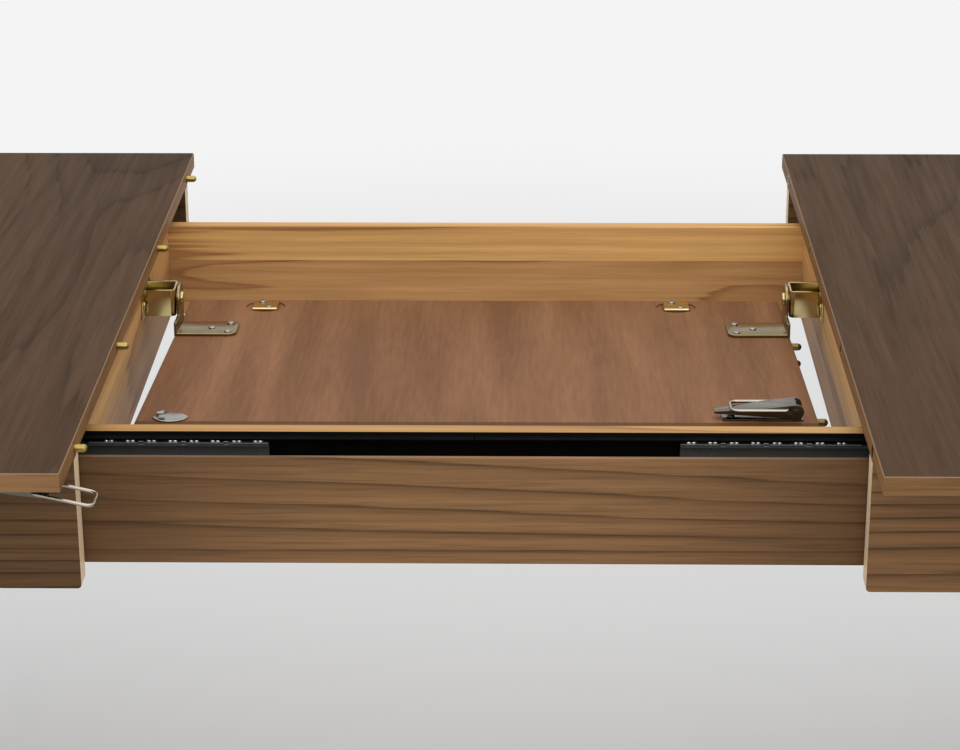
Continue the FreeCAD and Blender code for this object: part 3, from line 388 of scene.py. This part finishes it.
def figure(finish, grain, kind, dark, light, shift=(0.0, 0.0, 0.0)):
    """The colour of a board, from its growth rings, fibres and pores."""
    field = finish.noise(drawn_out(grain, kind.ring_stretch), kind.ring_scale, *RING_NOISE, shift)
    fibres = finish.noise(drawn_out(grain, kind.fibre_stretch), kind.fibre_scale, *FIBRE_NOISE, shift)
    turns = finish.calculate("ADD", finish.calculate("MULTIPLY", field, kind.rings),
                             finish.calculate("MULTIPLY", fibres, RING_ROUGHNESS))
    if kind.ring_drift:
        first, second = (axis for axis in "XYZ" if axis != grain.upper())
        across = finish.calculate("ADD", finish.along(first), finish.along(second))
        turns = finish.calculate("ADD", turns, finish.calculate("MULTIPLY", across, kind.ring_drift))
    tones = [(at, (tone,) * 3) for at, tone in RING_TONES]
    rings = finish.ramp(finish.calculate("FRACT", turns, 0.0), tones)
    tone = finish.shared(kind.ring_share, finish.shared(kind.fibre_share, field, fibres), rings)
    board = finish.ramp(tone, ((DARK_AT, dark), (LIGHT_AT, light)))
    specks = finish.noise(drawn_out(grain, PORE_STRETCH), PORE_SCALE, *PORE_NOISE, shift)
    shade = finish.ramp(specks, ((PORE_AT, (1.0 - kind.pores,) * 3), (CLEAR_AT, (1.0, 1.0, 1.0))))
    finish.fibres = fibres
    return finish.product(board, shade)


def satin(finish, board, roughness, specular):
    """Send a board's colour to the shader, with the sheen and faint relief of lacquer over its fibres."""
    finish.link(board, finish.shader.inputs["Base Color"])
    finish.shader.inputs["Specular IOR Level"].default_value = specular
    gloss = finish.add("ShaderNodeMapRange")
    gloss.inputs["To Min"].default_value = roughness * (1.0 + SHEEN_SPREAD)
    gloss.inputs["To Max"].default_value = roughness * (1.0 - SHEEN_SPREAD)
    finish.link(finish.fibres, gloss.inputs["Value"])
    finish.link(gloss.outputs[0], finish.shader.inputs["Roughness"])
    bump = finish.add("ShaderNodeBump")
    bump.inputs["Distance"].default_value = RELIEF
    finish.link(finish.fibres, bump.inputs["Height"])
    finish.link(bump.outputs[0], finish.shader.inputs["Normal"])
    return finish.material


def top_veneer(woods, shift):
    """Walnut veneer: grain across the table, edge bands along the edges, a painted highlight on the arris
    between.
    """
    finish = Finish("walnut veneer")
    long_band = figure(finish, "x", BAND_FIGURE, woods.band_dark, woods.band_light, shift)
    split_band = figure(finish, "y", BAND_FIGURE, woods.band_dark, woods.band_light, shift)
    face = figure(finish, "y", TOP_FIGURE, woods.walnut_dark, woods.walnut_light, shift)
    board = finish.mixed(finish.facing("Y"), face, long_band)
    board = finish.mixed(finish.facing("X"), board, split_band)
    # Painted highlight: faces tilted between flat and upright along the arris take the pale colour
    flatter = finish.calculate("SUBTRACT", 1.0, finish.facing("Z", ARRIS_HIGHLIGHT_TO))
    arris_highlight = finish.calculate("MULTIPLY", finish.facing("Z", ARRIS_HIGHLIGHT_FROM), flatter)
    return satin(finish, finish.mixed(arris_highlight, board, woods.arris_highlight), *VENEER_SHEEN)


def toned(shade, tone):
    """A colour made lighter or darker by a factor."""
    return tuple(tone * part for part in shade)


def apron_veneer(woods, shift, tone):
    """Walnut veneer along the apron, lighter or darker by its tone, with a pale band on its ends."""
    finish = Finish("walnut apron")
    dark, light = toned(woods.apron_dark, tone), toned(woods.apron_light, tone)
    face = figure(finish, "x", APRON_FIGURE, dark, light, shift)
    return satin(finish, finish.mixed(finish.facing("X"), face, woods.end_band), *APRON_SHEEN)


def walnut(woods, name, grain):
    """Walnut veneer or solid walnut with its grain one way all over."""
    finish = Finish(name)
    board = figure(finish, grain, APRON_FIGURE, woods.apron_dark, woods.apron_light)
    return satin(finish, board, *APRON_SHEEN)


def fascia_veneer(woods, shift):
    """Walnut veneer along a fascia, with painted shade that darkens it towards its two ends."""
    finish = Finish("walnut fascia with painted shade")
    middle = figure(finish, "x", APRON_FIGURE, woods.apron_dark, woods.apron_light, shift)
    # Painted shade: the ends take a darker copy of the veneer
    shaded_end_light = toned(woods.apron_light, FASCIA_END_SHADE)
    ends = figure(finish, "x", APRON_FIGURE, woods.apron_dark, shaded_end_light, shift)
    end_shade = finish.add("ShaderNodeMapRange", interpolation_type="SMOOTHSTEP")
    end_shade.inputs["From Min"].default_value = FASCIA_LIGHT_REACH
    end_shade.inputs["From Max"].default_value = FASCIA_DARK_REACH
    finish.link(finish.calculate("ABSOLUTE", finish.along("X"), 0.0), end_shade.inputs["Value"])
    return satin(finish, finish.mixed(end_shade.outputs[0], middle, ends), *APRON_SHEEN)


def paint_slide_shade(finish, board, woods, outward):
    """A rail's board with its outer face, behind the slides, painted black as shade."""
    return finish.mixed(finish.looking("Y", outward), board, woods.slide_shade)


def light_wood(woods):
    """Honey-coloured frame wood."""
    finish = Finish("light wood x")
    board = figure(finish, "x", RAIL_FIGURE, woods.honey_dark, woods.honey_light)
    return satin(finish, board, *FRAME_SHEEN)


def front_rail_wood(woods, tone):
    """Frame wood of the front rail, a darker board than the others, with painted black shade on its outer
    face.
    """
    finish = Finish("light wood front")
    board = figure(finish, "x", RAIL_FIGURE, toned(woods.honey_dark, tone), toned(woods.honey_light, tone))
    return satin(finish, paint_slide_shade(finish, board, woods, -1), *FRAME_SHEEN)


def glued_wood(woods, seam):
    """Frame wood glued up from two boards, the lower one redder and wilder in its figure."""
    finish = Finish("light wood glued")
    lower = figure(finish, "x", WAVY_FIGURE, woods.wavy_dark, woods.wavy_light, LOWER_PLACE)
    upper = figure(finish, "x", RAIL_FIGURE, woods.honey_dark, woods.honey_light, UPPER_PLACE)
    above = finish.calculate("GREATER_THAN", finish.along("Z"), seam)
    # The outer face behind the slides takes painted black shade
    return satin(finish, paint_slide_shade(finish, finish.mixed(above, lower, upper), woods, 1), *FRAME_SHEEN)


def shaded_wood(woods, low, high):
    """Frame wood of a cross rail, with painted shade that makes it greyer towards its lower edge."""
    finish = Finish("light wood cross with painted shade")
    # Painted shade: the lower part takes a darker, greyer wood
    dark, light = toned(woods.wavy_dark, SHADE_TONE), toned(woods.wavy_light, SHADE_TONE)
    lower = figure(finish, "y", RAIL_FIGURE, dark, light)
    upper = figure(finish, "y", RAIL_FIGURE, woods.honey_dark, woods.honey_light)
    shade_fade = finish.add("ShaderNodeMapRange", interpolation_type="SMOOTHSTEP")
    shade_fade.inputs["From Min"].default_value = low + (high - low) * SHADE_SHARE
    shade_fade.inputs["From Max"].default_value = high - (high - low) * HONEY_SHARE
    finish.link(finish.along("Z"), shade_fade.inputs["Value"])
    return satin(finish, finish.mixed(shade_fade.outputs[0], lower, upper), *FRAME_SHEEN)


def leaf_board(woods, shown_side, edge_shade_to):
    """Reddish backing on the leaf's underside, walnut on its show face, painted shade as a dark strip at
    the outer edge.
    """
    finish = Finish("leaf backing")
    show = figure(finish, "y", TOP_FIGURE, woods.walnut_dark, woods.walnut_light)
    backing = figure(finish, "y", BACKING_FIGURE, woods.backing_dark, woods.backing_light)
    # Painted shade: a dark strip along the outer edge of the underside
    edge_shade_strip = finish.calculate("LESS_THAN", finish.along("Y"), edge_shade_to)
    backing = finish.mixed(edge_shade_strip, backing, woods.edge_shade_colour)
    return satin(finish, finish.mixed(finish.looking("Z", shown_side), backing, show), *LEAF_SHEEN)


def metal(name, colour, upper=None):
    """A plated or painted metal or a plastic, darker and duller in patches, with fine rubbing marks.

    Faces that look straight up take the colour upper, if it is given."""
    finish = Finish(name)
    sheen = SHEENS[name]
    finish.shader.inputs["Metallic"].default_value = sheen.metallic
    finish.shader.inputs["Specular IOR Level"].default_value = sheen.specular
    patches = finish.noise((1.0, 1.0, 1.0), PATCH_SCALE, *PATCH_NOISE)
    plating = finish.ramp(patches, ((PATCH_AT, toned(colour, PATCH_TONE)), (PLATING_AT, colour)))
    if upper:
        plating = finish.mixed(finish.looking("Z", 1, STRAIGHT_UP), plating, upper)
    finish.link(plating, finish.shader.inputs["Base Color"])
    dulling = finish.add("ShaderNodeMapRange")
    dulling.inputs["To Min"].default_value = sheen.roughness * DULL_SHARE
    dulling.inputs["To Max"].default_value = sheen.roughness * POLISHED_SHARE
    finish.link(patches, dulling.inputs["Value"])
    finish.link(dulling.outputs[0], finish.shader.inputs["Roughness"])
    marks = finish.noise(MARK_STRETCH, MARK_SCALE, *MARK_NOISE)
    bump = finish.add("ShaderNodeBump")
    bump.inputs["Strength"].default_value = MARK_STRENGTH
    bump.inputs["Distance"].default_value = MARK_DEPTH
    finish.link(marks, bump.inputs["Height"])
    finish.link(bump.outputs[0], finish.shader.inputs["Normal"])
    return finish.material


def softened(node, rounding, material):
    """A copy of a CAD node with its sharp edges rounded, which stands for the node."""
    deselect_everything()
    piece = bpy.data.objects.new(node + "_soft", NODES[node].data.copy())
    bpy.context.scene.collection.objects.link(piece)
    bpy.context.view_layer.objects.active = piece
    piece.select_set(True)
    bpy.ops.object.mode_set(mode="EDIT")
    bpy.ops.mesh.select_all(action="SELECT")
    bpy.ops.mesh.remove_doubles(threshold=MERGE_DISTANCE)
    bpy.ops.mesh.dissolve_limited(angle_limit=FLAT_ANGLE)
    bpy.ops.object.mode_set(mode="OBJECT")
    bevel = piece.modifiers.new("rounding", "BEVEL")
    bevel.width = rounding
    bevel.segments = ROUNDING_SEGMENTS
    bevel.limit_method = "ANGLE"
    bevel.angle_limit = SHARP_ANGLE
    bpy.ops.object.modifier_apply(modifier=bevel.name)
    bpy.ops.object.shade_smooth_by_angle(angle=SHARP_ANGLE)
    piece.data.materials.clear()
    piece.data.materials.append(material)
    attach(piece, BODY_OF[node])
    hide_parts(node)


def wear(node, material):
    """Give a CAD node its finish."""
    mesh = NODES[node].data
    mesh.materials.clear()
    mesh.materials.append(material)


class TABLE_OT_tops(bpy.types.Operator):
    """Veneer the two halves of the top"""
    bl_idname = "table.tops"
    bl_label = "Tops"

    def execute(self, context):
        woods = context.scene.table_woods
        for number, node in enumerate(("left_top", "right_top")):
            wear(node, top_veneer(woods, (TOP_STEP * number, 0.0, 0.0)))
        return {"FINISHED"}


class TABLE_OT_understructure(bpy.types.Operator):
    """Finish the aprons, legs, braces, runners and glides"""
    bl_idname = "table.understructure"
    bl_label = "Aprons and legs"

    def execute(self, context):
        woods = context.scene.table_woods
        legs = walnut(woods, "walnut leg", "z")
        ends = walnut(woods, "walnut end apron", "y")
        runners = light_wood(woods)
        glides = metal("glide plastic", context.scene.table_metals.glide)
        # The left aprons are darkened as painted shade
        for number, (side, tone) in enumerate((("left", LEFT_APRON_SHADE), ("right", 1.0))):
            for step, face in enumerate(("front", "back")):
                shift = (APRON_STEP_ALONG * number, APRON_STEP_THROUGH * step, APRON_STEP_UP * number)
                wear(f"{side}_{face}_apron", apron_veneer(woods, shift, tone))
                wear(f"{side}_{face}_leg", legs)
            wear(f"{side}_end_apron", ends)
            wear(f"{side}_corner_braces", runners)
            wear(f"{side}_runners", runners)
            wear(f"{side}_floor_glides", glides)
        return {"FINISHED"}


class TABLE_OT_middle_frame(bpy.types.Operator):
    """Finish the frame rails, fascias and spacers"""
    bl_idname = "table.middle_frame"
    bl_label = "Middle frame"

    def execute(self, context):
        woods = context.scene.table_woods
        wear("front_frame_rail", front_rail_wood(woods, FRONT_RAIL_TONE))
        low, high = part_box("back_frame_rail")
        wear("back_frame_rail", glued_wood(woods, low.z + (high.z - low.z) * woods.seam_share))
        for number, face in enumerate(("front", "back")):
            wear(f"{face}_fascia", fascia_veneer(woods, (FASCIA_ALONG, FASCIA_STEP * number, FASCIA_UP)))
        low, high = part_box("left_cross_rail")
        across = shaded_wood(woods, low.z, high.z)
        for side in ("left", "right"):
            wear(f"{side}_cross_rail", across)
        wear("fascia_spacers", light_wood(woods))
        return {"FINISHED"}


class TABLE_OT_slides(bpy.types.Operator):
    """Finish the ball-bearing slides"""
    bl_idname = "table.slides"
    bl_label = "Slides"

    def execute(self, context):
        metals = context.scene.table_metals
        grey = metal("slide grey", metals.slide_grey)
        balls = metal("slide balls", metals.balls, upper=metals.cage)
        wear("slide_channels", metal("slide black", metals.slide_black))
        for side in ("left", "right"):
            wear(f"{side}_slide_middles", grey)
            wear(f"{side}_slide_bars", grey)
            wear(f"{side}_ball_cages", balls)
        wear("fold_links", grey)
        return {"FINISHED"}


class TABLE_OT_leaf(bpy.types.Operator):
    """Finish the two halves of the folding leaf"""
    bl_idname = "table.leaf"
    bl_label = "Leaf"

    def execute(self, context):
        woods = context.scene.table_woods
        for node, shown_side in (("leaf_panel_a", -1), ("leaf_panel_b", 1)):
            wear(node, leaf_board(woods, shown_side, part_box(node)[0].y + woods.edge_shade_width))
        return {"FINISHED"}


class TABLE_OT_fittings(bpy.types.Operator):
    """Finish the brackets, arms, hinges, pins, latches and strikes"""
    bl_idname = "table.fittings"
    bl_label = "Fittings"

    def execute(self, context):
        metals = context.scene.table_metals
        zinc = metal("bright zinc", metals.zinc)
        olive = metal("arm brass", metals.arm_brass)
        finishes = {
            "brass_plate": metal("brass plate", metals.brass),
            "bright_wire": zinc,
            "dark_nickel": metal("dark nickel", metals.nickel),
        }
        for node, slot in SLOTS.items():
            ending = node[node.rindex("_"):]
            if slot in finishes and ending in ROUNDINGS:
                softened(node, ROUNDINGS[ending], olive if ending == "_arms" else finishes[slot])
            elif slot in finishes:
                wear(node, finishes[slot])
        wear("left_locating_pins", metal("pin brass", metals.pin_brass))
        # The leaf's pins are darkened as painted shade
        pins_in_shade = metal("leaf pin brass in painted shade", metals.leaf_pin_shade)
        for board in ("leaf_a", "leaf_b"):
            wear(f"{board}_pins_and_bushes", pins_in_shade)
        wire = metal("nickel wire", metals.wire)
        for node in SLOTS:
            if node.endswith("_bail"):
                wear(node, wire)
            if node.endswith("_screws"):
                wear(node, zinc)
        return {"FINISHED"}


def seen_directly(tree):
    """1 for what the camera, gloss or glass shows, and 0 for what only lights the object."""
    path = tree.nodes.new("ShaderNodeLightPath")
    seen = path.outputs["Is Camera Ray"]
    for ray in ("Is Glossy Ray", "Is Transmission Ray"):
        either = tree.nodes.new("ShaderNodeMath")
        either.operation = "MAXIMUM"
        tree.links.new(seen, either.inputs[0])
        tree.links.new(path.outputs[ray], either.inputs[1])
        seen = either.outputs[0]
    return seen


def pale_world(stage):
    """A world that lights the object evenly, and looks as pale as the far floor."""
    world = bpy.data.worlds.new("studio")
    world.use_nodes = True
    tree = world.node_tree
    lighting = tree.nodes["Background"]
    lighting.inputs["Color"].default_value = (1.0, 1.0, 1.0, 1.0)
    lighting.inputs["Strength"].default_value = stage.world_light
    backdrop = tree.nodes.new("ShaderNodeBackground")
    backdrop.inputs["Color"].default_value = (*stage.floor_far, 1.0)
    blend = tree.nodes.new("ShaderNodeMixShader")
    tree.links.new(seen_directly(tree), blend.inputs["Fac"])
    tree.links.new(lighting.outputs[0], blend.inputs[1])
    tree.links.new(backdrop.outputs[0], blend.inputs[2])
    tree.links.new(blend.outputs[0], tree.nodes["World Output"].inputs["Surface"])
    return world


def pale_floor(stage):
    """A floor that is grey under the table, and looks white further out."""
    finish = Finish("floor")
    away = finish.add("ShaderNodeVectorMath", operation="LENGTH")
    finish.link(finish.place.outputs["Object"], away.inputs[0])
    spread = finish.add("ShaderNodeMapRange", interpolation_type="SMOOTHSTEP")
    spread.inputs["From Min"].default_value = stage.floor_start
    spread.inputs["From Max"].default_value = stage.floor_end
    finish.link(away.outputs["Value"], spread.inputs["Value"])
    finish.shader.inputs["Base Color"].default_value = (*stage.floor_near, 1.0)
    finish.shader.inputs["Roughness"].default_value = FLOOR_ROUGHNESS
    seen = seen_directly(finish.tree)
    white = finish.add("ShaderNodeEmission")
    white.inputs["Color"].default_value = (*stage.floor_far, 1.0)
    blend = finish.add("ShaderNodeMixShader")
    finish.link(finish.calculate("MULTIPLY", spread.outputs[0], seen), blend.inputs["Fac"])
    finish.link(finish.shader.outputs[0], blend.inputs[1])
    finish.link(white.outputs[0], blend.inputs[2])
    finish.link(blend.outputs[0], finish.tree.nodes["Material Output"].inputs["Surface"])
    return finish.material


class TABLE_OT_stage(bpy.types.Operator):
    """Set the floor, the lights and the camera"""
    bl_idname = "table.stage"
    bl_label = "Stage"

    def execute(self, context):
        stage = context.scene.table_stage
        deselect_everything()
        bpy.ops.mesh.primitive_plane_add(size=stage.floor_size)
        floor = context.object
        floor.name = "floor"
        floor.data.materials.append(pale_floor(stage))
        self.hang_lights(context)
        context.scene.world = pale_world(stage)
        context.scene.view_settings.view_transform = "Standard"
        self.place_camera(context, stage)
        return {"FINISHED"}

    @staticmethod
    def hang_lights(context):
        """The area lights, turned to the table."""
        for name, place, size, power in LIGHTS:
            bpy.ops.object.light_add(type="AREA", location=place)
            light = context.object
            light.name = name
            light.data.energy = power
            light.data.size = size
            aim = Vector(LIGHT_AIM) - Vector(place)
            light.rotation_euler = aim.to_track_quat("-Z", "Y").to_euler()

    @staticmethod
    def place_camera(context, stage):
        """The camera stands where the photograph was taken."""
        yaw, pitch, roll = stage.camera_turn
        ahead = Vector((math.sin(yaw) * math.cos(pitch), math.cos(yaw) * math.cos(pitch), -math.sin(pitch)))
        level = Vector((math.cos(yaw), -math.sin(yaw), 0.0))
        upward = level.cross(ahead)
        right = level * math.cos(roll) - upward * math.sin(roll)
        upward = right.cross(ahead)
        bpy.ops.object.camera_add()
        camera = context.object
        turn = Matrix((right, upward, -ahead)).transposed().to_4x4()
        camera.matrix_world = Matrix.Translation(stage.camera_place) @ turn
        camera.data.sensor_width = SENSOR_WIDTH
        camera.data.lens = LENS_PIXELS * SENSOR_WIDTH / PHOTO_WIDTH
        context.scene.camera = camera


STEPS = (TABLE_OT_tops, TABLE_OT_understructure, TABLE_OT_middle_frame, TABLE_OT_slides, TABLE_OT_leaf,
         TABLE_OT_fittings, TABLE_OT_stage)


class TABLE_PT_panel(bpy.types.Panel):
    """The table's steps and settings"""
    bl_idname = "TABLE_PT_panel"
    bl_label = "Extension table"
    bl_space_type = "VIEW_3D"
    bl_region_type = "UI"
    bl_category = "Table"

    def draw(self, context):
        column = self.layout.column()
        for step in STEPS:
            column.operator(step.bl_idname)
        for group in (context.scene.table_woods, context.scene.table_metals, context.scene.table_stage):
            for name in group.__annotations__:
                column.prop(group, name)


GROUPS = {"table_woods": TableWoods, "table_metals": TableMetals, "table_stage": TableStage}


def register():
    """Make the settings, the operators and the panel known to Blender."""
    for group in GROUPS.values():
        bpy.utils.register_class(group)
    for name, group in GROUPS.items():
        setattr(bpy.types.Scene, name, bpy.props.PointerProperty(type=group))
    for cls in (*STEPS, TABLE_PT_panel):
        bpy.utils.register_class(cls)


def unregister():
    """Take them away again."""
    for cls in (TABLE_PT_panel, *reversed(STEPS)):
        bpy.utils.unregister_class(cls)
    for name, group in GROUPS.items():
        delattr(bpy.types.Scene, name)
        bpy.utils.unregister_class(group)


def main():
    """Dress the table and set the stage."""
    register()
    bpy.ops.table.tops()
    bpy.ops.table.understructure()
    bpy.ops.table.middle_frame()
    bpy.ops.table.slides()
    bpy.ops.table.leaf()
    bpy.ops.table.fittings()
    bpy.ops.table.stage()


if __name__ == "__main__":
    main()
